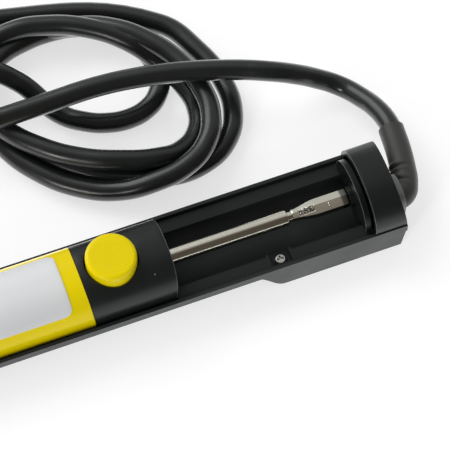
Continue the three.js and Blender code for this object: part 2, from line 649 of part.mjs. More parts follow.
// ---------------------------------------------------------------- channel cover
function makeChannelCover() {
  const front = windowFrontX + 0.4;
  const wallFront = capFrontX - 0.3;
  const outer = rim.width / 2 - rim.thickness - gap;
  const inner = channel.width / 2;
  const low = ledgeTop + gap;
  const floorTop = bowl(inner, channel.top, channel.top - channel.floor);
  const floorUnder = bowl(inner + channel.wall, low, low - channel.floor + channel.wall + gap);
  const edges = [[outer, low], [outer, channel.top]];
  const section = [[-outer, channel.top], [-outer, low], ...floorUnder, ...edges];
  const body = alongX([...section, ...floorTop.reverse()], front, wallFront);
  const endWall = alongX(section, wallFront, wallFront + channel.endWall);
  const pocketEnd = pocketFrontX + pocket.length;
  const well = block(pocketFrontX, pocketEnd, ...pocketSides(), pocket.floor, channel.top);
  const inset = pocket.wall;
  const [from, to] = [-(channel.width / 2 + pocket.width - inset), -(channel.width / 2 - 3)];
  const hollow = block(pocketFrontX + inset, pocketEnd - inset, from, to, pocket.floor + inset, channel.top + 1);
  const holes = channelScrews.map(([x, y]) => postZ(x, y, 4, channel.top + 1, shankRadius + gap, 10));
  return cut(join(body, endWall, well), hollow, ...holes);
}

// ---------------------------------------------------------------- wiring
const heaterEndX = heaterRearX + gap;
const crimpRearX = capFrontX - crimp.fromCap + crimp.length;
const crimpFrontX = crimpRearX - crimp.length;
const leadKinds = [
  ["live", -wire.spacing, "brownWire"],
  ["earth", 0, "greenWire"],
  ["neutral", wire.spacing, "blueWire"],
];

function makeLead(y) {
  const low = wire.height;
  return tubeAlong([
    [heaterEndX, y, 9.8], [heaterEndX + 5, y, 9.8], [noseFrontX + 3, y, 9.4], [noseFrontX + 6.5, y, 6.4],
    [headFrontX - 2.4, y, low + 0.8], [headFrontX + 1, y, low], [headRearX + 20, y, low], [0, y, low], [30, y, low],
    [60, y, low], [crimpFrontX - gap, y, low],
  ], wire.radius, 28, 6);
}

// From the crimps the cord's cores rise behind the thumb plate into its jacket.
function makeCore(y) {
  const turnX = plateFrontX + thumbPlate.thickness + 2.2;
  const inJacket = clamp.y + y * 0.75;
  return tubeAlong([
    [crimpRearX + gap, y, wire.height], [crimpRearX + 3, y, wire.height],
    [turnX - 1.6, (y + inJacket) / 2, wire.height + 0.3], [turnX, inJacket, wire.height + 2.6],
    [turnX + 0.1, inJacket, clamp.z - 1.8], [turnX + 0.5, inJacket, clamp.z - 0.4],
  ], wire.radius, 12, 6);
}

// ---------------------------------------------------------------- cord, coil and plug
function makeCoil() {
  const ring = new THREE.Shape();
  ring.absellipse(0, 0, coil.long, coil.short, 0, 2 * Math.PI);
  const hole = new THREE.Path();
  hole.absellipse(0, 0, coil.holeLong, coil.holeShort, 0, 2 * Math.PI);
  ring.holes.push(hole);
  const geometry = new THREE.ExtrudeGeometry(ring, { depth: coil.top, bevelEnabled: false, curveSegments: 24 });
  geometry.rotateZ(THREE.MathUtils.degToRad(coil.tilt));
  return geometry.translate(coil.x, coil.y, 0);
}

function makePlugBody() {
  const face = plug.frontX - plug.neckLength - plug.length;
  const body = turnedX([
    [face, 0], [face, plug.radius - 1], [face + 1, plug.radius], [face + 13, plug.radius], [face + 19, plug.radius - 3],
    [face + 28, plug.radius - 9], [face + plug.length, plug.neckRadius + 1], [plug.frontX, plug.neckRadius],
    [plug.frontX, 0],
  ], plug.y, plug.z, 28);
  const seats = pinPlaces().map((y) => rodX(face - 1, face + plugPin.seat, plugPin.radius + gap, y, plug.z, 12));
  const slots = [-1, 1].map((side) => {
    const [near, far] = [(plug.radius - 1.6) * side, (plug.radius + 1) * side].sort((a, b) => a - b);
    const half = earthClip.width / 2 + gap;
    return block(face - 1, face + earthClip.length + gap, plug.y - half, plug.y + half, plug.z + near, plug.z + far);
  });
  return cut(body, ...seats, ...slots);
}

function pinPlaces() {
  return [plug.y - plugPin.spacing / 2, plug.y + plugPin.spacing / 2];
}

function makePin(y) {
  const face = plug.frontX - plug.neckLength - plug.length;
  const tip = face - plugPin.length;
  const { radius } = plugPin;
  return turnedX([[tip, 0], [tip, radius - 1.2], [tip + 0.6, radius - 0.4], [tip + 1.6, radius],
    [face + plugPin.seat - gap, radius], [face + plugPin.seat - gap, 0]], y, plug.z, 14);
}

function makeEarthClip(side) {
  const face = plug.frontX - plug.neckLength - plug.length;
  const base = (plug.radius - 1.6 + gap) * side;
  const [near, far] = [base, base + earthClip.thickness * side].sort((a, b) => a - b);
  const half = earthClip.width / 2;
  return block(face, face + earthClip.length, plug.y - half, plug.y + half, plug.z + near, plug.z + far);
}

// ---------------------------------------------------------------- the assembly
addPiece("lower_tray", makeLowerTray(), "blackPlastic");
addPiece("front_shell", shellPiece(caseFrontX, leaning(seamX - gap, -shell.seamLean), frontCaseScrews), "yellowPlastic");
addPiece("rear_shell", makeRearShell(), "blackPlastic");
addPiece("end_cap", makeEndCap(), "blackPlastic");
addPiece("rear_plate", makeRearPlate(), "blackPlastic");
addPiece("nose_cap", makeNoseCap(), "blackPlastic");
addPiece("channel_cover", makeChannelCover(), "blackPlastic");
addPiece("label_plate", makeLabel(), "paleLabel");

addPiece("cylinder_tube", tubeX(headFrontX + 1.6 + gap, bushRearX - 1, cylinder.radius, insideCylinder + gap), "aluminium");
addPiece("cylinder_head", makeCylinderHead(), "rubber");
addPiece("rear_bush", makeRearBush(), "blackPlastic");
const springSpace = pistonFrontX - headRearX - 2 * gap;
const springRadius = insideCylinder - 0.9 - spring.wire / 2;
const mainSpring = coilSpring(springSpace, springRadius, spring.wire, spring.turns, 12);
addPiece("main_spring", mainSpring.translate(headRearX + gap, 0, axisHeight), "springSteel");
addPiece("piston", makePiston(), "blackPlastic");
addPiece("piston_seal", makePistonSeal(), "rubber");
addPiece("plunger_rod", makePlungerRod(), "nickel");
addPiece("rod_end_bar", makeRodBar(), "nickel");
addPiece("thumb_plate", makeThumbPlate(), "blackPlastic");

addPiece("release_button", makeReleaseButton(), "yellowPlastic");
addPiece("catch_plate", makeCatchPlate(), "steel");
addPiece("catch_bracket", makeCatchBracket(), "steel");
addPiece("button_spring", makeButtonSpring(), "springSteel");

addPiece("suction_tube", tubeX(nozzleRootX - 3 + gap, headRearX, suctionTube.radius, suctionTube.bore, 16), "steel");
addPiece("heater_barrel", makeBarrel(), "steel");
addPiece("mounting_flange", makeFlange(), "steel");
addPiece("heater_core", tubeX(heaterFrontX, heaterRearX, heater.radius, heater.bore, 20), "ceramic");
const windingLength = heater.length - 2;
const winding = coilSpring(windingLength, heater.radius + gap + heater.wire / 2, heater.wire, heater.turns, 10, 4);
addPiece("heater_winding", winding.translate(heaterFrontX + 1, 0, axisHeight), "copper");
addPiece("tip_nut", makeTipNut(), "steel");
addPiece("nozzle", makeNozzle(), "copper");
flangeScrewPlaces().forEach(([y, z], i) => {
  const screw = makeScrew(5).rotateY(Math.PI / 2);
  addPiece(`flange_screw_${i + 1}`, screw.translate(flangeFrontX - gap - screwHead.height, y, z), "zinc");
});

[...frontCaseScrews, ...rearCaseScrews].forEach(([x, y], i) => {
  const screw = makeScrew(caseScrew.length - screwHead.height, false);
  addPiece(`case_screw_${i + 1}`, screw.translate(x, y, caseScrew.headZ), "zinc");
});
const pocketScrewTop = pocket.floor + pocket.wall + gap + screwHead.height;
for (const [x, y] of channelScrews) {
  addPiece("channel_screw", makeScrew(5).rotateX(Math.PI).translate(x, y, pocketScrewTop), "zinc");
}

leadKinds.forEach(([kind, y, finish]) => {
  addPiece(`lead_${kind}`, makeLead(y), finish);
  addPiece(`crimp_${kind}`, rodX(crimpFrontX, crimpRearX, crimp.radius, y, wire.height, 12), "brass");
  addPiece(`core_${kind}`, makeCore(y), finish);
});
const clampLow = clamp.z + cordRadius + 0.4;
const clampBar = cut(
  block(clampX - clamp.length / 2, clampX + clamp.length / 2, clampScrews[0][1] - 1.9, clampScrews[1][1] + 1.9,
    clampLow, clampLow + clamp.thickness),
  ...clampScrews.map(([x, y]) => postZ(x, y, clampLow - 1, clampLow + 4, shankRadius + gap, 10)),
);
addPiece("cord_clamp", clampBar, "blackPlastic");
clampScrews.forEach(([x, y], i) => {
  const headTop = clampLow + clamp.thickness + gap + screwHead.height;
  addPiece(`clamp_screw_${i + 1}`, makeScrew(6).rotateX(Math.PI).translate(x, y, headTop), "zinc");
});

const jacketFrontX = plateFrontX + thumbPlate.thickness + 3.3;
const jacket = [
  [jacketFrontX, clamp.y, clamp.z - 0.1], [clampX, clamp.y, clamp.z], [clampX + 1.5, -4.5, clamp.z + 0.2],
];
addPiece("cord_entry", tubeAlong(jacket, cordRadius, 4, 14), "rubber");
const collar = rodX(sleevePoints[0][0] - 0.5, sleevePoints[0][0] + 0.6, sleeveRadius + 0.8, -4.6, 11.4, 20);
addPiece("strain_relief", join(collar, tubeAlong(sleevePoints, sleeveRadius, 16, 14)), "rubber");
addPiece("mains_cord", tubeAlong(cordRun, cordRadius, 52, 8), "rubber");
addPiece("cord_coil", makeCoil(), "rubber");
addPiece("cord_lead", tubeAlong(plugLead, cordRadius, 14, 8), "rubber");
addPiece("plug_body", makePlugBody(), "rubber");
pinPlaces().forEach((y, i) => addPiece(`plug_pin_${i + 1}`, makePin(y), "nickel"));
[1, -1].forEach((side, i) => addPiece(`earth_clip_${i + 1}`, makeEarthClip(side), "nickel"));

export default part;
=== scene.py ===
import math
import bpy
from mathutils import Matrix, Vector


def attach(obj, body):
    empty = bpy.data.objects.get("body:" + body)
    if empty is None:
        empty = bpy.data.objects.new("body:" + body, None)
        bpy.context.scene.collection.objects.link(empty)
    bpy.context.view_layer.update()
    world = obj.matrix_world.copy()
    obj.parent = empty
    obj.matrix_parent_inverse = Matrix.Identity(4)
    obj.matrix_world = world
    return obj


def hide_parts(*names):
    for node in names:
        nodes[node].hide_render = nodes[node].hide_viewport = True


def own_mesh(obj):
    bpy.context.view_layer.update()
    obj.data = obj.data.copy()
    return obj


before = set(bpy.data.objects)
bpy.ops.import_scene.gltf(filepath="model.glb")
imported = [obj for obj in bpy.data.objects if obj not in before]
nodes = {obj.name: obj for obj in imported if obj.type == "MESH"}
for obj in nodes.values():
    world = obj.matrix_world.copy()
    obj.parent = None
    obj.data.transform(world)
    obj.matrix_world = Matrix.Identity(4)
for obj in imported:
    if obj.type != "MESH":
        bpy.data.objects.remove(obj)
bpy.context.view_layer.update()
mm = 0.001

# camera

camera = {"eye": (-56.0, -320.7, 692.2), "target": (67.94, 10.14, 1.0), "lens": 200.5}


def addCamera():
    data = bpy.data.cameras.new("benchCamera")
    data.lens = camera["lens"]
    data.sensor_width = 36
    data.clip_start = 0.01
    holder = bpy.data.objects.new("benchCamera", data)
    bpy.context.scene.collection.objects.link(holder)
    eye = Vector(camera["eye"]) * mm
    look = Vector(camera["target"]) * mm - eye
    holder.location = eye
    holder.rotation_euler = look.to_track_quat("-Z", "Y").to_euler()
    bpy.context.scene.camera = holder


addCamera()
print("camera set")

# cord: the route from the strain relief to the plug, in millimetres

cord = {"diameter": 6.6, "length": 1.1}
cordRun = [
    (126.7, 17.5, 10.5), (126.6, 22, 10), (125.6, 28, 8.6), (123.3, 34.7, 6.2), (118.5, 41.9, 5.1),
    (111.3, 45.5, 8.5), (104.7, 47, 12.6), (96.5, 48.9, 16.2), (88.8, 52.1, 16.5), (81, 54.9, 16.5),
    (73.2, 57.3, 16.5), (65.3, 59.3, 16.5), (55.6, 61, 16.5), (47.5, 61.9, 16.5), (39.2, 62.2, 16.5),
    (30.8, 62.2, 16.2), (22.5, 62.2, 16), (14.5, 62.3, 15.8), (4, 62.6, 15.2), (-5, 64.2, 14),
    (-13.5, 67.8, 12.6), (-20.5, 73.5, 11.4), (-24.6, 81.5, 10.6), (-24.4, 90.5, 10.3), (-19.6, 98.5, 8.4),
    (-11.5, 103.8, 6.2), (-2, 106.4, 4.4), (9, 107, 3.4), (21, 105.5, 3.3),
]
plugLead = [
    (23, 76.5, 9.5), (13.5, 81.5, 14.6), (4, 84.6, 12.4), (-5, 87, 7), (-13.5, 88, 3.6), (-21.5, 88, 3.4),
    (-30, 88, 3.4), (-38, 88, 5.7), (-44.5, 88, 11.6), (-49.5, 88, 16.6), (-52.8, 88, 18.4),
    (-56, 88, 18.7),
]
# each turn is an ellipse with its middle, half lengths and tilt, and heights along the coil by angle
turns = [
    {"middle": (46.5, 70.1), "half": (46.3, 29.9), "tilt": -46.4, "heights": [(-125, 3.3), (130, 3.3)]},
    {"middle": (43, 61.4), "half": (38.6, 27.4), "tilt": -44.2,
     "heights": [(210, 3.3), (275, 9.9), (385, 9.9), (435, 4)]},
    {"middle": (41, 65.6), "half": (37.3, 23), "tilt": -37.3,
     "heights": [(500, 4), (590, 9.9), (625, 9.9), (680, 3.3), (725, 3.3), (785, 9.9), (850, 9.9)]},
    {"middle": (46.4, 74.4), "half": (22.5, 17), "tilt": -40, "heights": [(950, 3.3), (1195, 3.3)]},
]
# in degrees along the coil: its ends, its step, and how far each turn keeps its own ellipse to either side
coil = {"from": -80, "to": 1180, "step": 20, "steady": 130}


# a smooth value between the rows of a table
def between(table, at):
    if at <= table[0][0]:
        return table[0][1]
    for (a, low), (b, high) in zip(table, table[1:]):
        if at <= b:
            t = (at - a) / (b - a)
            t = t * t * (3 - 2 * t)
            return low + (high - low) * t
    return table[-1][1]


def coilPoints():
    rows = {"x": [], "y": [], "long": [], "short": [], "tilt": []}
    for i, turn in enumerate(turns):
        for edge in (-coil["steady"], coil["steady"]):
            at = 360 * i + edge
            rows["x"].append((at, turn["middle"][0]))
            rows["y"].append((at, turn["middle"][1]))
            rows["long"].append((at, turn["half"][0]))
            rows["short"].append((at, turn["half"][1]))
            rows["tilt"].append((at, turn["tilt"]))
    heights = [pair for turn in turns for pair in turn["heights"]]
    points = []
    for at in range(coil["from"], coil["to"] + 1, coil["step"]):
        angle = math.radians(-at)
        tilt = math.radians(between(rows["tilt"], at))
        along = between(rows["long"], at) * math.cos(angle)
        across = between(rows["short"], at) * math.sin(angle)
        x = between(rows["x"], at) + along * math.cos(tilt) - across * math.sin(tilt)
        y = between(rows["y"], at) + along * math.sin(tilt) + across * math.cos(tilt)
        points.append((x, y, between(heights, at)))
    return points


# a round bar along a smooth line of points
def makeRound(name, points, radius, around=12):
    curve = bpy.data.curves.new(name, "CURVE")
    curve.dimensions = "3D"
    curve.bevel_depth = radius * mm
    curve.bevel_resolution = around
    curve.resolution_u = 10
    curve.use_fill_caps = True
    line = curve.splines.new("BEZIER")
    line.bezier_points.add(len(points) - 1)
    for knot, point in zip(line.bezier_points, points):
        knot.co = Vector(point) * mm
        knot.handle_left_type = "AUTO"
        knot.handle_right_type = "AUTO"
    made = bpy.data.objects.new(name, curve)
    bpy.context.scene.collection.objects.link(made)
    return made


mainsCord = makeRound("mainsCord", cordRun + coilPoints() + plugLead, cord["diameter"] / 2)
print("cord laid")

# small tools


def startAfresh():
    if bpy.context.object and bpy.context.object.mode != "OBJECT":
        bpy.ops.object.mode_set(mode="OBJECT")
    bpy.ops.object.select_all(action="DESELECT")


def pick(piece):
    startAfresh()
    piece.select_set(True)
    bpy.context.view_layer.objects.active = piece


def applyAll(piece):
    pick(piece)
    for modifier in list(piece.modifiers):
        bpy.ops.object.modifier_apply(modifier=modifier.name)


def roundEdges(piece, width, segments=3, angle=38):
    bevel = piece.modifiers.new("roundEdges", "BEVEL")
    bevel.width = width * mm
    bevel.segments = segments
    bevel.limit_method = "ANGLE"
    bevel.angle_limit = math.radians(angle)
    bevel.use_clamp_overlap = True
    bevel.miter_outer = "MITER_ARC"


def finishPiece(piece, body, material, smooth=38, stands=(), even=True):
    applyAll(piece)
    bpy.ops.object.transform_apply(location=True, rotation=True, scale=True)
    bpy.ops.object.shade_smooth_by_angle(angle=math.radians(smooth))
    if even:  # broad faces stay flat beside their rounded edges
        weighing = piece.modifiers.new("evenFaces", "WEIGHTED_NORMAL")
        weighing.weight = 80
        weighing.keep_sharp = True
        applyAll(piece)
    piece.data.materials.clear()
    piece.data.materials.append(material)
    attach(piece, body)
    if stands:
        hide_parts(*stands)
    return piece


def cutAway(piece, cutter):
    tool = piece.modifiers.new("cut", "BOOLEAN")
    tool.operation = "DIFFERENCE"
    tool.solver = "EXACT"
    tool.object = cutter
    applyAll(piece)
    bpy.data.objects.remove(cutter, do_unlink=True)


def addBlock(name, low, high):
    startAfresh()
    middle = [(a + b) / 2 * mm for a, b in zip(low, high)]
    bpy.ops.mesh.primitive_cube_add(size=1, location=middle)
    made = bpy.context.object
    made.name = name
    made.scale = [(b - a) * mm for a, b in zip(low, high)]
    bpy.ops.object.transform_apply(location=True, rotation=True, scale=True)
    return made


# a profile of (distance, radius) pairs spun about a line along x or z
def spinPiece(name, profile, through, axis="X", steps=64):
    startAfresh()
    bpy.ops.mesh.primitive_plane_add(size=mm, location=(0, 0, 0))
    made = bpy.context.object
    made.name = name
    bpy.ops.object.mode_set(mode="EDIT")
    bpy.ops.mesh.select_all(action="SELECT")
    bpy.ops.mesh.merge(type="CENTER")
    bpy.ops.mesh.select_all(action="SELECT")
    here = Vector((0, 0, 0))
    for distance, radius in profile:
        there = Vector((distance, 0, radius)) if axis == "X" else Vector((radius, 0, distance))
        there = there * mm
        if here == Vector((0, 0, 0)) and (distance, radius) == profile[0]:
            bpy.ops.transform.translate(value=there - here)
        else:
            bpy.ops.mesh.extrude_vertices_move(TRANSFORM_OT_translate={"value": there - here})
        here = there
    bpy.ops.mesh.select_all(action="SELECT")
    turn = (1, 0, 0) if axis == "X" else (0, 0, 1)
    bpy.ops.mesh.spin(steps=steps, angle=2 * math.pi, center=(0, 0, 0), axis=turn)
    bpy.ops.mesh.select_all(action="SELECT")
    bpy.ops.mesh.remove_doubles(threshold=0.000004)
    bpy.ops.mesh.normals_make_consistent(inside=False)
    bpy.ops.object.mode_set(mode="OBJECT")
    made.location = Vector(through) * mm
    bpy.ops.object.transform_apply(location=True, rotation=False, scale=False)
    return made


# a rounded arch from the near side over the top to the far side, evenly stepped
def archLine(half, spring, rise, squareness, low, steps, fineSteps=400):
    fine = [(-half, low)] if low < spring else []
    for i in range(fineSteps + 1):
        angle = math.pi * (1 - i / fineSteps)
        side = math.copysign(abs(math.cos(angle)) ** (2 / squareness), math.cos(angle))
        fine.append((half * side, spring + rise * abs(math.sin(angle)) ** (2 / squareness)))
    if low < spring:
        fine.append((half, low))
    run = [0]
    for (y0, z0), (y1, z1) in zip(fine, fine[1:]):
        run.append(run[-1] + math.hypot(y1 - y0, z1 - z0))
    line = []
    j = 0
    for i in range(steps + 1):
        want = run[-1] * i / steps
        while j < len(run) - 2 and run[j + 1] < want:
            j += 1
        t = (want - run[j]) / max(run[j + 1] - run[j], 1e-9)
        line.append(tuple(fine[j][k] + (fine[j + 1][k] - fine[j][k]) * t for k in (0, 1)))
    return line


# a flat grid wrapped on an arch, its two ends at an x worked out from each row's height
def wrapSheet(name, line, frontX, rearX, rows):
    startAfresh()
    bpy.ops.mesh.primitive_grid_add(x_subdivisions=rows, y_subdivisions=len(line) - 1, size=1)
    made = bpy.context.object
    made.name = name
    for vertex in made.data.vertices:
        u = vertex.co.x + 0.5
        row = round((vertex.co.y + 0.5) * (len(line) - 1))
        y, z = line[row]
        x = frontX(z, row) + (rearX(z, row) - frontX(z, row)) * u
        vertex.co = Vector((x, y, z)) * mm
    return made


def thicken(piece, wall):
    solid = piece.modifiers.new("wall", "SOLIDIFY")
    solid.thickness = wall * mm
    solid.offset = -1
    solid.use_even_offset = True


# a copy of a CAD node with its small triangles merged and its edges rounded
def refineNode(node, name, width):
    mesh = nodes[node].data.copy()
    made = bpy.data.objects.new(name, mesh)
    bpy.context.scene.collection.objects.link(made)
    pick(made)
    bpy.ops.object.mode_set(mode="EDIT")
    bpy.ops.mesh.select_all(action="SELECT")
    bpy.ops.mesh.remove_doubles(threshold=0.000002)
    bpy.ops.mesh.dissolve_limited(angle_limit=math.radians(0.6))
    bpy.ops.object.mode_set(mode="OBJECT")
    if width:
        roundEdges(made, width, 2)
    return made


# materials


def srgb(r, g, b):
    def channel(value):
        value = value / 255
        return value / 12.92 if value <= 0.04045 else ((value + 0.055) / 1.055) ** 2.4
    return (channel(r), channel(g), channel(b), 1)


def newGroup(name, inputs, outputs):
    group = bpy.data.node_groups.new(name, "ShaderNodeTree")
    for label, kind, value in inputs:
        socket = group.interface.new_socket(name=label, in_out="INPUT", socket_type=kind)
        socket.default_value = value
    for label, kind in outputs:
        group.interface.new_socket(name=label, in_out="OUTPUT", socket_type=kind)
    return group, group.nodes.new("NodeGroupInput"), group.nodes.new("NodeGroupOutput")


def addMath(tree, operation, a, b=0.0, clamp=False):
    node = tree.nodes.new("ShaderNodeMath")
    node.operation = operation
    node.use_clamp = clamp
    for socket, value in zip(node.inputs, (a, b)):
        if isinstance(value, (int, float)):
            socket.default_value = value
        else:
            tree.links.new(value, socket)
    return node.outputs[0]


# fine moulded grain: a height for bumps and a slow mottle for the finish
def grainGroup():
    group, given, out = newGroup(
        "mouldedGrain",
        [("Vector", "NodeSocketVector", (0, 0, 0)), ("Size", "NodeSocketFloat", 3000),
         ("Mottle", "NodeSocketFloat", 120)],
        [("Height", "NodeSocketFloat"), ("Mottle", "NodeSocketFloat")],
    )
    fine = group.nodes.new("ShaderNodeTexNoise")
    fine.inputs["Detail"].default_value = 3
    slow = group.nodes.new("ShaderNodeTexNoise")
    slow.inputs["Detail"].default_value = 4
    slow.inputs["Roughness"].default_value = 0.6
    for noise, size in ((fine, "Size"), (slow, "Mottle")):
        group.links.new(given.outputs["Vector"], noise.inputs["Vector"])
        group.links.new(given.outputs[size], noise.inputs["Scale"])
    group.links.new(fine.outputs[0], out.inputs["Height"])
    group.links.new(slow.outputs[0], out.inputs["Mottle"])
    return group


# thin bright marks on corners: rubbed wear, and painted highlight along the edges
def wearAndSheenGroup():
    group, given, out = newGroup(
        "rubbedEdges",
        [("Vector", "NodeSocketVector", (0, 0, 0)), ("Amount", "NodeSocketFloat", 0.5)],
        [("Mask", "NodeSocketFloat")],
    )
    geometry = group.nodes.new("ShaderNodeNewGeometry")
    ramp = group.nodes.new("ShaderNodeValToRGB")
    ramp.color_ramp.elements[0].position = 0.515
    ramp.color_ramp.elements[1].position = 0.58
    group.links.new(geometry.outputs["Pointiness"], ramp.inputs[0])
    noise = group.nodes.new("ShaderNodeTexNoise")
    noise.inputs["Scale"].default_value = 700
    noise.inputs["Detail"].default_value = 5
    group.links.new(given.outputs["Vector"], noise.inputs["Vector"])
    patchy = addMath(group, "MULTIPLY", ramp.outputs[0], noise.outputs[0])
    group.links.new(addMath(group, "MULTIPLY", patchy, given.outputs["Amount"], True), out.inputs["Mask"])
    return group


# a few pale specks of dust
def speckGroup():
    group, given, out = newGroup(
        "dustSpecks",
        [("Vector", "NodeSocketVector", (0, 0, 0)), ("Size", "NodeSocketFloat", 0.06),
         ("Spacing", "NodeSocketFloat", 260)],
        [("Mask", "NodeSocketFloat")],
    )
    cells = group.nodes.new("ShaderNodeTexVoronoi")
    group.links.new(given.outputs["Vector"], cells.inputs["Vector"])
    group.links.new(given.outputs["Spacing"], cells.inputs["Scale"])
    near = addMath(group, "LESS_THAN", cells.outputs["Distance"], given.outputs["Size"])
    split = group.nodes.new("ShaderNodeSeparateColor")
    group.links.new(cells.outputs["Color"], split.inputs[0])
    rare = addMath(group, "GREATER_THAN", split.outputs[0], 0.93)
    group.links.new(addMath(group, "MULTIPLY", near, rare), out.inputs["Mask"])
    return group


mouldedGrain = grainGroup()
rubbedEdges = wearAndSheenGroup()
dustSpecks = speckGroup()


def useGroup(tree, group, vector, **values):
    node = tree.nodes.new("ShaderNodeGroup")
    node.node_tree = group
    tree.links.new(vector, node.inputs["Vector"])
    for label, value in values.items():
        node.inputs[label].default_value = value
    return node


def mixColour(tree, share, first, second):
    node = tree.nodes.new("ShaderNodeMix")
    node.data_type = "RGBA"
    tree.links.new(share, node.inputs["Factor"])
    for socket, value in ((node.inputs["A"], first), (node.inputs["B"], second)):
        if isinstance(value, tuple):
            socket.default_value = value
        else:
            tree.links.new(value, socket)
    return node.outputs["Result"]


def spread(tree, value, low, high):
    node = tree.nodes.new("ShaderNodeMapRange")
    node.inputs["From Min"].default_value = 0.3
    node.inputs["From Max"].default_value = 0.7
    node.inputs["To Min"].default_value = low
    node.inputs["To Max"].default_value = high
    tree.links.new(value, node.inputs["Value"])
    return node.outputs["Result"]


dustColour = (0.35, 0.35, 0.34, 1)


# a moulded, plated or drawn surface from one dictionary of its settings
def surface(name, look):
    material = bpy.data.materials.new(name)
    material.use_nodes = True
    tree = material.node_tree
    shader = tree.nodes["Principled BSDF"]
    place = tree.nodes.new("ShaderNodeTexCoord").outputs["Object"]
    if "stretch" in look:
        mapping = tree.nodes.new("ShaderNodeMapping")
        mapping.inputs["Scale"].default_value = look["stretch"]
        tree.links.new(place, mapping.inputs["Vector"])
        patterned = mapping.outputs[0]
    else:
        patterned = place
    size, mottle = look.get("grain", 3000), look.get("mottle", 120)
    grain = useGroup(tree, mouldedGrain, patterned, Size=size, Mottle=mottle)
    colour = mixColour(tree, grain.outputs["Mottle"], look["dark"], look["light"])
    # lighter corners: rubbed wear, and painted highlight along the edges
    if look.get("wear"):
        worn = useGroup(tree, rubbedEdges, place, Amount=look["wear"])
        colour = mixColour(tree, worn.outputs["Mask"], colour, look["worn"])
    if look.get("dust"):
        dust = useGroup(tree, dustSpecks, place, Size=look["dust"], Spacing=look["dustSpacing"])
        colour = mixColour(tree, dust.outputs["Mask"], colour, dustColour)
    tree.links.new(colour, shader.inputs["Base Color"])
    low, high = look["rough"]
    tree.links.new(spread(tree, grain.outputs["Mottle"], low, high), shader.inputs["Roughness"])
    bump = tree.nodes.new("ShaderNodeBump")
    bump.inputs["Strength"].default_value = look.get("bump", 0.15)
    bump.inputs["Distance"].default_value = look.get("depth", 0.00005)
    tree.links.new(grain.outputs["Height"], bump.inputs["Height"])
    tree.links.new(bump.outputs["Normal"], shader.inputs["Normal"])
    shader.inputs["Metallic"].default_value = look.get("metal", 0)
    shader.inputs["Specular IOR Level"].default_value = look.get("specular", 0.5)
    if "ior" in look:
        shader.inputs["IOR"].default_value = look["ior"]
    return material


# yellow, its corners lighter: rubbed wear, and painted highlight
yellowPlastic = surface("yellowPlastic", {
    "dark": srgb(226, 203, 0), "light": srgb(233, 211, 0), "rough": (0.2, 0.28), "bump": 0.05, "mottle": 60,
    "wear": 0.15, "worn": srgb(240, 230, 70), "specular": 0.5, "ior": 1.22,
})
blackPlastic = surface("blackPlastic", {
    "dark": srgb(25, 28, 27), "light": srgb(31, 34, 33), "rough": (0.3, 0.4), "bump": 0.08, "mottle": 90,
    "dust": 0.045, "dustSpacing": 240, "specular": 0.17,
})
trayPlastic = surface("trayPlastic", {
    "dark": srgb(28, 31, 31), "light": srgb(34, 37, 37), "rough": (0.36, 0.46), "bump": 0.12, "mottle": 90,
    "dust": 0.045, "dustSpacing": 220, "specular": 0.16,
})
# lighter than the other black plastic: painted light against the shade in the channel
channelBlack = surface("channelBlack", {
    "dark": srgb(31, 34, 33), "light": srgb(38, 41, 40), "rough": (0.36, 0.46), "bump": 0.1, "mottle": 70,
    "dust": 0.045, "dustSpacing": 240, "specular": 0.07,
})
# darker than the other black plastic: painted shade on the thumb plate inside the cap's mouth
plateBlack = surface("plateBlack", {
    "dark": srgb(15, 17, 17), "light": srgb(21, 24, 23), "rough": (0.3, 0.4), "bump": 0.08, "mottle": 90,
    "dust": 0.045, "dustSpacing": 300, "specular": 0.12,
})
# light grey on pieces of black plastic: painted reflection on the rear plate, painted highlight on the pip
bossPlastic = surface("bossPlastic", {
    "dark": srgb(92, 95, 93), "light": srgb(112, 115, 113), "rough": (0.4, 0.5), "bump": 0.12, "mottle": 90,
})
# light grey for the edge beads: painted highlight
edgeSheen = surface("edgeSheen", {
    "dark": srgb(52, 56, 55), "light": srgb(92, 97, 96), "rough": (0.3, 0.4), "bump": 0.1, "mottle": 500,
    "specular": 0.3,
})
labelFilm = surface("labelFilm", {
    "dark": srgb(208, 209, 210), "light": srgb(219, 220, 221), "rough": (0.34, 0.42), "bump": 0.04,
    "mottle": 30,
})
nickelPlate = surface("nickelPlate", {
    "dark": (0.45, 0.43, 0.36, 1), "light": (0.575, 0.56, 0.475, 1), "rough": (0.14, 0.22), "metal": 1,
    "bump": 0.08, "grain": 1500, "mottle": 60, "stretch": (0.1, 1, 1),
})
barNickel = surface("barNickel", {
    "dark": (0.45, 0.43, 0.36, 1), "light": (0.575, 0.56, 0.475, 1), "rough": (0.16, 0.26), "metal": 1,
    "bump": 0.12, "grain": 1200, "mottle": 90, "stretch": (0.2, 1, 1),
})
zincPlate = surface("zincPlate", {
    "dark": (0.24, 0.24, 0.22, 1), "light": (0.44, 0.44, 0.41, 1), "rough": (0.3, 0.45), "metal": 1,
    "bump": 0.3, "grain": 2500, "mottle": 900,
})
steelSheet = surface("steelSheet", {
    "dark": (0.2, 0.2, 0.195, 1), "light": (0.32, 0.32, 0.31, 1), "rough": (0.26, 0.38), "metal": 1,
    "bump": 0.08, "grain": 1800, "mottle": 150, "stretch": (1, 0.15, 0.15),
})
springSteel = surface("springSteel", {
    "dark": (0.2, 0.2, 0.21, 1), "light": (0.34, 0.34, 0.35, 1), "rough": (0.3, 0.4), "metal": 1,
})
drawnAluminium = surface("drawnAluminium", {
    "dark": (0.62, 0.63, 0.64, 1), "light": (0.74, 0.75, 0.76, 1), "rough": (0.3, 0.42), "metal": 1,
    "stretch": (0.1, 1, 1), "grain": 1500,
})
tipCopper = surface("tipCopper", {
    "dark": (0.2, 0.15, 0.12, 1), "light": (0.42, 0.36, 0.31, 1), "rough": (0.35, 0.55), "metal": 1,
    "bump": 0.2, "mottle": 260,
})
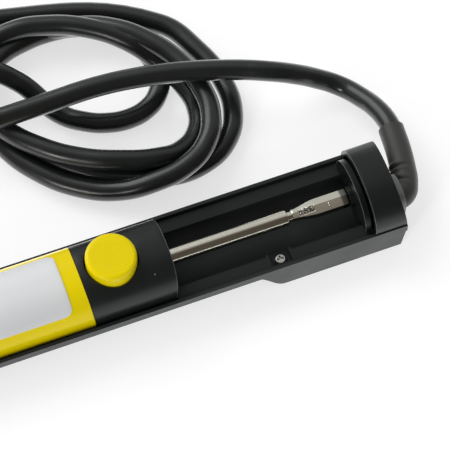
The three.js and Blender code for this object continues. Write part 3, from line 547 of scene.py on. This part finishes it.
crimpBrass = surface("crimpBrass", {
    "dark": (0.5, 0.36, 0.14, 1), "light": (0.68, 0.52, 0.24, 1), "rough": (0.28, 0.4), "metal": 1,
})
firedCeramic = surface("firedCeramic", {
    "dark": srgb(214, 206, 190), "light": srgb(232, 226, 213), "rough": (0.6, 0.75), "bump": 0.3,
    "grain": 1600,
})
cordJacket = surface("cordJacket", {
    "dark": srgb(24, 27, 26), "light": srgb(31, 34, 33), "rough": (0.24, 0.33), "bump": 0.12, "grain": 1400,
    "mottle": 70, "depth": 0.0001, "specular": 0.36,
})
sleeveRubber = surface("sleeveRubber", {
    "dark": srgb(50, 51, 48), "light": srgb(61, 62, 58), "rough": (0.46, 0.58), "bump": 0.3, "grain": 1800,
    "mottle": 160, "specular": 0.3,
})
sealRubber = surface("sealRubber", {
    "dark": srgb(28, 28, 28), "light": srgb(40, 40, 39), "rough": (0.5, 0.65), "bump": 0.2,
})
brownWire = surface("brownWire", {
    "dark": srgb(80, 48, 26), "light": srgb(98, 62, 38), "rough": (0.4, 0.5),
})
blueWire = surface("blueWire", {
    "dark": srgb(24, 70, 140), "light": srgb(34, 90, 165), "rough": (0.4, 0.5),
})
greenWire = surface("greenWire", {
    "dark": srgb(60, 130, 40), "light": srgb(205, 196, 40), "rough": (0.4, 0.5), "mottle": 400,
})


# 1 between two positions along one axis, fading over a short distance
def addBand(tree, value, low, high, soft):
    sides = []
    for at, before, after in ((low, 0, 1), (high, 1, 0)):
        node = tree.nodes.new("ShaderNodeMapRange")
        node.interpolation_type = "SMOOTHSTEP"
        node.inputs["From Min"].default_value = (at - soft) * mm
        node.inputs["From Max"].default_value = (at + soft) * mm
        node.inputs["To Min"].default_value = before
        node.inputs["To Max"].default_value = after
        tree.links.new(value, node.inputs["Value"])
        sides.append(node.outputs["Result"])
    return addMath(tree, "MULTIPLY", sides[0], sides[1])


crushed = {
    "x": (88.0, 93.0), "y": (-1.5, 0.5), "z": (14.3, 20), "soft": (0.25, 0.2, 0.1), "cells": 1100,
    "dark": (0.06, 0.055, 0.05, 1), "dent": 0.8, "depth": 0.0002,
}
socketShade = {"x": (101.9, 104.8), "soft": 0.5, "share": 0.85}


# the crushed patch stamped near the bar's neck, and the shade where the bar enters the thumb plate
def stampBar():
    tree = barNickel.node_tree
    shader = tree.nodes["Principled BSDF"]
    place = tree.nodes.new("ShaderNodeTexCoord").outputs["Object"]
    split = tree.nodes.new("ShaderNodeSeparateXYZ")
    tree.links.new(place, split.inputs[0])
    along, across, up = (
        addBand(tree, split.outputs[axis.upper()], *crushed[axis], soft)
        for axis, soft in zip("xyz", crushed["soft"])
    )
    patch = addMath(tree, "MULTIPLY", addMath(tree, "MULTIPLY", along, across), up)
    marks = tree.nodes.new("ShaderNodeTexVoronoi")
    marks.feature = "DISTANCE_TO_EDGE"
    marks.inputs["Scale"].default_value = crushed["cells"]
    tree.links.new(place, marks.inputs["Vector"])
    lines = tree.nodes.new("ShaderNodeMapRange")
    lines.inputs["From Min"].default_value = 0.04
    lines.inputs["From Max"].default_value = 0.16
    lines.inputs["To Min"].default_value = 1
    lines.inputs["To Max"].default_value = 0.15
    tree.links.new(marks.outputs["Distance"], lines.inputs["Value"])
    stamped = addMath(tree, "MULTIPLY", patch, lines.outputs["Result"])
    plain = shader.inputs["Base Color"].links[0].from_socket
    colour = mixColour(tree, stamped, plain, crushed["dark"])
    socket = addBand(tree, split.outputs["X"], *socketShade["x"], socketShade["soft"])
    shaded = addMath(tree, "MULTIPLY", socket, socketShade["share"])
    colour = mixColour(tree, shaded, colour, crushed["dark"])
    tree.links.new(colour, shader.inputs["Base Color"])
    dent = tree.nodes.new("ShaderNodeBump")
    dent.inputs["Strength"].default_value = crushed["dent"]
    dent.inputs["Distance"].default_value = crushed["depth"]
    dent.invert = True
    tree.links.new(stamped, dent.inputs["Height"])
    tree.links.new(shader.inputs["Normal"].links[0].from_socket, dent.inputs["Normal"])
    tree.links.new(dent.outputs["Normal"], shader.inputs["Normal"])


stampBar()
print("materials made")

# upper shells

archSteps = 72
shells = {
    "half": 12.6, "spring": 11.2, "rise": 12.8, "square": 2.5, "low": 10.1, "wall": 1.8,
    "front": -67.2, "seam": 18.5, "seamGap": 0.12, "window": 44.0, "lean": 1.4, "seamLean": 0.9,
}


# an end that leans by an amount from the shells' foot to their top
def leaning(x, amount):
    tall = shells["spring"] + shells["rise"] - shells["low"]
    return lambda z, row: x + amount * (z - shells["low"]) / tall


def shellLine():
    shape = (shells["half"], shells["spring"], shells["rise"], shells["square"], shells["low"])
    return archLine(*shape, archSteps)


def makeFrontShell():
    rear = leaning(shells["seam"] - shells["seamGap"], -shells["seamLean"])
    shell = wrapSheet("yellowShell", shellLine(), lambda z, row: shells["front"], rear, rows=24)
    thicken(shell, shells["wall"])
    roundEdges(shell, 0.18, 2)
    finishPiece(shell, "case", yellowPlastic, stands=["front_shell"])


# the button, and the hole that it stands in
button = {
    "x": 28, "radius": 7.8, "top": 27.3, "low": 21.0, "deck": 25.5, "wall": 1.5, "rim": 1.3, "sunk": 0.1,
    "flatInset": 1.6, "hole": 8.3, "cutFrom": 15, "cutTo": 30,
}
ribs = {
    "count": 13, "turn": -4, "inset": 2.2, "reach": 1.9, "share": 0.4,
    "root": 0.4, "crest": 0.045, "edge": 0.04,
}
pip = {"radius": 0.26, "at": (38.9, -8.1, 22.1)}


def makeRearShell():
    front = leaning(shells["seam"], -shells["seamLean"])
    rear = leaning(shells["window"], shells["lean"])
    shell = wrapSheet("darkShell", shellLine(), front, rear, rows=14)
    thicken(shell, shells["wall"])
    applyAll(shell)
    low, high, around = button["cutFrom"], button["cutTo"], button["hole"]
    profile = [(low, 0), (low, around), (high, around), (high, 0)]
    cutAway(shell, spinPiece("buttonHole", profile, (button["x"], 0, 0), "Z", 96))
    roundEdges(shell, 0.3, 3)
    finishPiece(shell, "case", blackPlastic, stands=["rear_shell"], even=False)


# a small dome on the dark shell, light grey as a painted highlight
def makePip():
    startAfresh()
    bpy.ops.mesh.primitive_uv_sphere_add(
        segments=20, ring_count=12, radius=pip["radius"] * mm, location=[v * mm for v in pip["at"]],
    )
    made = bpy.context.object
    made.name = "mouldPip"
    finishPiece(made, "case", bossPlastic)


def makeButton():
    r = button["radius"]
    top = button["top"]
    inside = r - button["wall"]
    profile = [(button["deck"], 0), (button["deck"], inside), (button["low"], inside), (button["low"], r)]
    profile += [(top - button["rim"], r)]
    bend = button["rim"] - button["sunk"]
    steps = 6
    for i in range(1, steps + 1):  # the rounded rim
        angle = math.pi / 2 * i / steps
        profile.append((top - button["rim"] + bend * math.sin(angle), r - bend + bend * math.cos(angle)))
    profile += [(top - button["sunk"], r - button["flatInset"]), (top - button["sunk"], 0)]
    knob = spinPiece("yellowButton", profile, (button["x"], 0, 0), "Z", 96)
    finishPiece(knob, "button", yellowPlastic, 50, ["release_button"])


# low ribs across the button's top, each as long as the round allows
def makeRibs():
    x, r, top = button["x"], button["radius"], button["top"]
    pitch = 2 * (r - ribs["inset"]) / ribs["count"]
    for i in range(ribs["count"]):
        y = (i - (ribs["count"] - 1) / 2) * pitch
        reach = math.sqrt(max((r - ribs["reach"]) ** 2 - y * y, 1))
        low = (x - reach, y - pitch * ribs["share"], top - ribs["root"])
        high = (x + reach, y + pitch * ribs["share"], top - ribs["crest"])
        rib = addBlock("buttonRib%d" % (i + 1), low, high)
        bpy.ops.object.mode_set(mode="EDIT")
        bpy.ops.mesh.select_all(action="SELECT")
        bpy.ops.transform.rotate(
            value=math.radians(ribs["turn"]), orient_axis="Z", center_override=(x * mm, 0, 0),
        )
        bpy.ops.object.mode_set(mode="OBJECT")
        roundEdges(rib, ribs["edge"], 2)
        finishPiece(rib, "button", yellowPlastic)


makeFrontShell()
makeRearShell()
makePip()
makeButton()
makeRibs()
print("upper shells and button")

# label on the front shell

label = {
    "from": 146, "to": 52, "front": -49.8, "rear": 12.2, "lift": 0.04, "skin": 0.22, "corner": 2.6,
    "steps": 90, "rows": 60,
}


def makeLabel():
    line = []
    half, rise = shells["half"] + label["lift"], shells["rise"] + label["lift"]
    for i in range(label["steps"] + 1):
        angle = math.radians(label["from"] + (label["to"] - label["from"]) * i / label["steps"])
        side = math.copysign(abs(math.cos(angle)) ** (2 / shells["square"]), math.cos(angle))
        up = math.sin(angle) ** (2 / shells["square"])
        line.append((half * side, shells["spring"] + rise * up))
    run = [0]
    for (y0, z0), (y1, z1) in zip(line, line[1:]):
        run.append(run[-1] + math.hypot(y1 - y0, z1 - z0))

    def inset(row):  # the corners are quarter circles
        short = label["corner"] - min(run[row], run[-1] - run[row])
        return label["corner"] - math.sqrt(label["corner"] ** 2 - short ** 2) if short > 0 else 0

    film = wrapSheet("blankLabel", line, lambda z, row: label["front"] + inset(row),
                     lambda z, row: label["rear"] - inset(row), label["rows"])
    thicken(film, -label["skin"])
    roundEdges(film, 0.07, 2)
    finishPiece(film, "case", labelFilm, stands=["label_plate"])


makeLabel()
print("label")

# end cap, and a dark block just inside its mouth as painted shade

endCap = {
    "half": 14.6, "spring": 12.5, "rise": 11.8, "square": 2.2, "wall": 1.8,
    "front": 107.8, "rear": 118.1, "lean": 1.3,
}
shadeBlock = {"low": (108.45, -10.4, 11.2), "high": (109.25, 10.4, 19.2), "edge": 0.15}


def makeEndCap():
    spring, rise, rear = endCap["spring"], endCap["rise"], endCap["rear"]
    line = archLine(endCap["half"], spring, rise, endCap["square"], spring, archSteps)
    cap = wrapSheet("endCap", line, lambda z, row: endCap["front"],
                    lambda z, row: rear - endCap["lean"] * (z - spring) / rise, rows=8)
    thicken(cap, endCap["wall"])
    roundEdges(cap, 0.16, 3)
    finishPiece(cap, "case", blackPlastic, stands=["end_cap"])


# a dark block inside the cap's mouth, standing in for the shade there
def makeShadeBlock():
    wall = addBlock("capWall", shadeBlock["low"], shadeBlock["high"])
    roundEdges(wall, shadeBlock["edge"], 2)
    finishPiece(wall, "case", blackPlastic)


makeEndCap()
makeShadeBlock()
print("end cap")

# pieces that keep their CAD shape, with rounded edges: node, name, body, material, slot, edge radius
refined = [
    ("lower_tray", "trayBody", "case", trayPlastic, "black_plastic", 0.28),
    # the rear plate, black plastic, light grey as a painted reflection
    ("rear_plate", "rearPlate", "case", bossPlastic, "black_plastic", 0.12),
    ("nose_cap", "noseCap", "case", blackPlastic, "black_plastic", 0.5),
    # the channel cover in its lighter black: painted light
    ("channel_cover", "channelCover", "case", channelBlack, "black_plastic", 0.2),
    ("mounting_flange", "mountingFlange", "case", steelSheet, "steel_sheet", 0.12),
    ("heater_barrel", "heaterBarrel", "case", steelSheet, "steel_sheet", 0.08),
    ("tip_nut", "tipNut", "case", steelSheet, "steel_sheet", 0.25),
    ("nozzle", "nozzleTip", "case", tipCopper, "copper_tip", 0.2),
    ("cord_clamp", "cordClamp", "case", blackPlastic, "black_plastic", 0.2),
    ("plug_body", "plugBody", "case", sealRubber, "black_rubber", 0.5),
    ("plug_pin_1", "plugPinNear", "case", nickelPlate, "nickel", 0),
    ("plug_pin_2", "plugPinFar", "case", nickelPlate, "nickel", 0),
    ("earth_clip_1", "earthClipTop", "case", nickelPlate, "nickel", 0.15),
    ("earth_clip_2", "earthClipLow", "case", nickelPlate, "nickel", 0.15),
    # the thumb plate in its darker black: painted shade
    ("thumb_plate", "thumbPlate", "plunger", plateBlack, "black_plastic", 0.2),
    ("catch_plate", "catchPlate", "button", steelSheet, "steel_sheet", 0.1),
    ("catch_bracket", "catchBracket", "case", steelSheet, "steel_sheet", 0.15),
]
for node, name, body, material, slotName, width in refined:
    piece = refineNode(node, name, width)
    finishPiece(piece, body, material, stands=[node])
print("tray, cover and nose")

# thin beads in light grey, painted highlights along the window rim, the cap's mouth and the thumb plate:
# name, body, arch (half, spring, rise, squareness), x at the foot, lean to the top
beads = [
    ("windowBead", "case", (12.52, 11.2, 12.72, 2.5), 43.98, 1.29),
    ("capBead", "case", (14.53, 12.5, 11.73, 2.2), 107.87, 0),
    ("plateBead", "plunger", (12.32, 11.4, 10.82, 2.2), 105.38, 0),
]
beadRadius = 0.11
for name, body, (half, spring, rise, squareness), foot, lean in beads:
    line = archLine(half, spring, rise, squareness, spring, 32)
    bead = makeRound(name, [(foot + lean * (z - spring) / rise, y, z) for y, z in line], beadRadius, 3)
    pick(bead)
    bpy.ops.object.convert(target="MESH")
    bead = finishPiece(bpy.context.object, body, edgeSheen, 60)
print("beads")

# screws, each with its cross recess
for node in [n for n in nodes if "screw" in n]:
    piece = refineNode(node, node.replace("_", "") + "Zinc", 0.1)
    finishPiece(piece, "case", zincPlate, stands=[node])

# springs, each with a mesh of its own:
# node, name, joint, way, fixed end, share of the length left at the joint's limit
springs = [
    ("button_spring", "buttonSpring", "button_press", (0, 0, 1), (27.4, 0, 17.7), 0.59),
    ("main_spring", "mainSpring", "plunger_slide", (1, 0, 0), (-55.9, 0, 13.3), 0.187),
]
for node, name, joint, way, fixed, kept in springs:
    piece = refineNode(node, name, 0)
    finishPiece(piece, "case", springSteel, stands=[node])
    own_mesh(piece)
print("springs")

# plunger rod and its flattened end

rod = {
    "axis": 13.3, "radius": 2.5, "front": 10.5, "rear": 84.3, "chamfer": 0.3,
    "neck": 1.6, "neckEnd": 0.05, "barFront": 85.9, "barRear": 103.9,
}


def makeRod():
    r, front, rear, neck, chamfer = (rod[key] for key in ("radius", "front", "rear", "neck", "chamfer"))
    neckRear = rod["barFront"] - rod["neckEnd"]
    profile = [(front, 0), (front, r - chamfer), (front + chamfer, r)]
    profile += [(rear - 0.5, r), (rear - 0.2, r - 0.12), (rear, r - 0.45)]  # the rounded rim
    profile += [(rear, neck + 0.15), (rear - chamfer, neck), (neckRear, neck), (neckRear, 0)]
    made = spinPiece("nickelRod", profile, (0, 0, rod["axis"]), "X", 64)
    finishPiece(made, "plunger", nickelPlate, 30, ["plunger_rod"])


# the flat bar, a hexagon with its upper ridge a little off the middle, and a nick in its face
bar = {
    "slim": 3.2, "wide": 5.4, "slimThick": 2.6, "thick": 3.7, "flareEnd": 94, "slope": 0.26, "ridge": 0.25,
    "rings": 24,
}
nick = {"line": [(97.5, -0.25, 15.04), (97.85, -0.85, 14.9), (97.5, -1.45, 14.76)], "radius": 0.13}


def makeBar():
    startAfresh()
    bpy.ops.mesh.primitive_cylinder_add(vertices=6, radius=1, depth=1, rotation=(0, math.pi / 2, 0))
    made = bpy.context.object
    made.name = "flatBar"
    bpy.ops.object.transform_apply(location=True, rotation=True, scale=True)
    bpy.ops.object.mode_set(mode="EDIT")
    for cut in range(1, bar["rings"]):  # rings along the bar to shape it by
        bpy.ops.mesh.select_all(action="SELECT")
        bpy.ops.mesh.bisect(plane_co=(cut / bar["rings"] - 0.5, 0, 0), plane_no=(1, 0, 0))
    bpy.ops.object.mode_set(mode="OBJECT")
    length = rod["barRear"] - rod["barFront"]
    for vertex in made.data.vertices:
        x = rod["barFront"] + (vertex.co.x + 0.5) * length
        t = min(max((x - rod["barFront"]) / (bar["flareEnd"] - rod["barFront"]), 0), 1)
        t = t * t * (3 - 2 * t)
        wide = bar["slim"] + (bar["wide"] - bar["slim"]) * t
        thick = bar["slimThick"] + (bar["thick"] - bar["slimThick"]) * t
        around = math.atan2(vertex.co.y, vertex.co.z)
        ridge = abs(math.sin(around)) > 0.9  # the two corners of the hexagon above and below the axis
        y = bar["ridge"] if ridge else math.copysign(wide / 2, -math.cos(around))
        tall = thick / 2 if ridge else thick / 2 - wide / 2 * bar["slope"]
        z = math.copysign(tall, math.sin(around))
        vertex.co = Vector((x, y, rod["axis"] + z)) * mm
    roundEdges(made, 0.12, 2, 20)
    finishPiece(made, "plunger", barNickel, 24, ["rod_end_bar"])


def makeNick():
    pick(makeRound("barNick", nick["line"], nick["radius"], 4))
    bpy.ops.object.convert(target="MESH")
    made = bpy.context.object
    finishPiece(made, "plunger", nickelPlate, 60)


makeRod()
makeBar()
makeNick()
print("rod")

# strain relief: a tapered sleeve that turns to the far side, with creases inside its bend

sleeve = {"root": 4.2, "tip": 4.05}
fold = {"reach": 3, "side": 0.35, "width": 0.42, "lip": 0.45, "lipAt": 1.15, "lipWidth": 0.55}
sleeveLine = [
    (114.8, -4.6, 11.4), (116.9, -4.6, 11.8), (118.8, -4.6, 12), (121, -3.9, 12), (122.9, -0.9, 11.8),
    (124.3, 4.2, 11.5), (125.6, 11, 11), (126.5, 19, 10.4),
]
# each crease: its middle on the line, the way the sleeve runs there, and its depth
creases = [((124.1, 3.6, 11.6), (0.26, 0.96, 0), 0.55), ((122.7, -1.4, 11.8), (0.5, 0.86, 0), 0.6)]


def makeSleeve():
    made = makeRound("sleeveGrey", sleeveLine, 1, 14)
    count = len(sleeveLine) - 1
    for i, knot in enumerate(made.data.splines[0].bezier_points):
        knot.radius = sleeve["root"] + (sleeve["tip"] - sleeve["root"]) * i / count
    made.data.resolution_u = 24
    pick(made)
    bpy.ops.object.convert(target="MESH")
    made = bpy.context.object
    for vertex in made.data.vertices:
        for middle, way, depth in creases:
            away = vertex.co / mm - Vector(middle)
            along = away.dot(Vector(way))
            if abs(along) > fold["reach"]:
                continue
            across = away - Vector(way) * along
            inner = min(max(fold["side"] - across.x / sleeve["root"], 0), 1)  # only inside the bend
            groove = math.exp(-(along / fold["width"]) ** 2)
            lips = fold["lip"] * math.exp(-((abs(along) - fold["lipAt"]) / fold["lipWidth"]) ** 2)
            vertex.co += across.normalized() * depth * (lips - groove) * inner * mm
    finishPiece(made, "case", sleeveRubber, 60, ["strain_relief"])
    return made


strainRelief = makeSleeve()
print("strain relief")

# the cord: its finish and its body, with the CAD cord, coil and lead hidden
mainsCord.data.materials.append(cordJacket)
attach(mainsCord, "case")
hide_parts("mains_cord", "cord_coil", "cord_lead")

# finishes of the CAD pieces that stay as they are
carried = {
    "cylinder_tube": drawnAluminium, "cylinder_head": sealRubber, "rear_bush": blackPlastic,
    "piston": blackPlastic, "piston_seal": sealRubber, "suction_tube": steelSheet,
    "heater_core": firedCeramic, "heater_winding": tipCopper, "cord_entry": cordJacket,
    "lead_live": brownWire, "core_live": brownWire, "lead_neutral": blueWire, "core_neutral": blueWire,
    "lead_earth": greenWire, "core_earth": greenWire,
    "crimp_live": crimpBrass, "crimp_neutral": crimpBrass, "crimp_earth": crimpBrass,
}
for node, material in carried.items():
    nodes[node].data.materials.clear()
    nodes[node].data.materials.append(material)
print("carried pieces finished")

# bench, lamps and world

bench = {
    "size": 6.0, "white": (0.9, 0.9, 0.92, 1), "glow": 0.5, "seen": 1.27,
    "mirrored": 3.6, "far": 0.2, "near": 0.14, "away": 0.5,
}


def makeBench():
    startAfresh()
    bpy.ops.mesh.primitive_plane_add(size=bench["size"], location=(0, 0, -0.0001))
    floor = bpy.context.object
    floor.name = "bench"
    material = bpy.data.materials.new("whiteBench")
    material.use_nodes = True
    tree = material.node_tree
    shader = tree.nodes["Principled BSDF"]
    shader.inputs["Base Color"].default_value = bench["white"]
    shader.inputs["Roughness"].default_value = 0.8
    glow = tree.nodes.new("ShaderNodeEmission")
    path = tree.nodes.new("ShaderNodeLightPath")
    seen = addMath(tree, "MAXIMUM", path.outputs["Is Camera Ray"], path.outputs["Is Glossy Ray"])
    seen = addMath(tree, "MAXIMUM", seen, path.outputs["Is Transmission Ray"])
    share = addMath(tree, "MULTIPLY", seen, bench["glow"])
    length = tree.nodes.new("ShaderNodeVectorMath")
    length.operation = "LENGTH"
    tree.links.new(tree.nodes.new("ShaderNodeTexCoord").outputs["Object"], length.inputs[0])
    near = tree.nodes.new("ShaderNodeMapRange")  # the sheet mirrors brightest close to the tool
    near.interpolation_type = "SMOOTHSTEP"
    near.inputs["From Min"].default_value = bench["near"]
    near.inputs["From Max"].default_value = bench["away"]
    near.inputs["To Min"].default_value = bench["mirrored"] - bench["seen"]
    near.inputs["To Max"].default_value = bench["far"] - bench["seen"]
    tree.links.new(length.outputs["Value"], near.inputs["Value"])
    more = addMath(tree, "MULTIPLY", path.outputs["Is Glossy Ray"], near.outputs["Result"])
    tree.links.new(addMath(tree, "ADD", more, bench["seen"]), glow.inputs["Strength"])
    mix = tree.nodes.new("ShaderNodeMixShader")
    tree.links.new(share, mix.inputs[0])
    tree.links.new(shader.outputs[0], mix.inputs[1])
    tree.links.new(glow.outputs[0], mix.inputs[2])
    tree.links.new(mix.outputs[0], tree.nodes["Material Output"].inputs["Surface"])
    floor.data.materials.append(material)


lamps = [
    {"name": "windowLamp", "at": (-0.55, 1.25, 1.15), "size": 1.3, "watts": 20},
    {"name": "sideLamp", "at": (-1.05, -0.85, 0.62), "size": 0.28, "watts": 8},
]
aim = (0.05, 0.03, 0)
room = {
    "bright": 0.85, "dim": 0.12, "even": 0.62, "tint": (0.96, 0.975, 1, 1), "warm": (1, 0.86, 0.76, 1),
    "dimEnd": -0.25, "brightEnd": 0.35,
}


def makeLamps():
    for lamp in lamps:
        data = bpy.data.lights.new(lamp["name"], "AREA")
        data.shape = "SQUARE"
        data.size = lamp["size"]
        data.energy = lamp["watts"]
        holder = bpy.data.objects.new(lamp["name"], data)
        bpy.context.scene.collection.objects.link(holder)
        holder.location = lamp["at"]
        look = Vector(aim) - Vector(lamp["at"])
        holder.rotation_euler = look.to_track_quat("-Z", "Y").to_euler()


# seen white, mirrored as a room that is bright beyond the tool and dim in front, and even as light
def makeWorld():
    world = bpy.data.worlds.new("room")
    bpy.context.scene.world = world
    world.use_nodes = True
    tree = world.node_tree
    lit = tree.nodes["Background"]
    way = tree.nodes.new("ShaderNodeTexCoord")
    split = tree.nodes.new("ShaderNodeSeparateXYZ")
    tree.links.new(way.outputs["Generated"], split.inputs[0])
    share = tree.nodes.new("ShaderNodeMapRange")
    share.interpolation_type = "SMOOTHSTEP"
    share.inputs["From Min"].default_value = room["dimEnd"]
    share.inputs["From Max"].default_value = room["brightEnd"]
    tree.links.new(split.outputs["Y"], share.inputs["Value"])
    tint = mixColour(tree, share.outputs["Result"], room["warm"], room["tint"])
    tree.links.new(tint, lit.inputs["Color"])
    level = tree.nodes.new("ShaderNodeMapRange")
    level.inputs["To Min"].default_value = room["dim"]
    level.inputs["To Max"].default_value = room["bright"]
    tree.links.new(share.outputs["Result"], level.inputs["Value"])
    tree.links.new(level.outputs["Result"], lit.inputs["Strength"])
    white = tree.nodes.new("ShaderNodeBackground")
    white.inputs["Strength"].default_value = 1
    even = tree.nodes.new("ShaderNodeBackground")
    even.inputs["Strength"].default_value = room["even"]
    path = tree.nodes.new("ShaderNodeLightPath")
    soft = tree.nodes.new("ShaderNodeMixShader")
    tree.links.new(path.outputs["Is Glossy Ray"], soft.inputs[0])
    tree.links.new(even.outputs[0], soft.inputs[1])
    tree.links.new(lit.outputs[0], soft.inputs[2])
    mix = tree.nodes.new("ShaderNodeMixShader")
    tree.links.new(path.outputs["Is Camera Ray"], mix.inputs[0])
    tree.links.new(soft.outputs[0], mix.inputs[1])
    tree.links.new(white.outputs[0], mix.inputs[2])
    tree.links.new(mix.outputs[0], tree.nodes["World Output"].inputs["Surface"])


makeBench()
makeLamps()
makeWorld()
bpy.context.scene.view_settings.view_transform = "Standard"
print("bench and light")
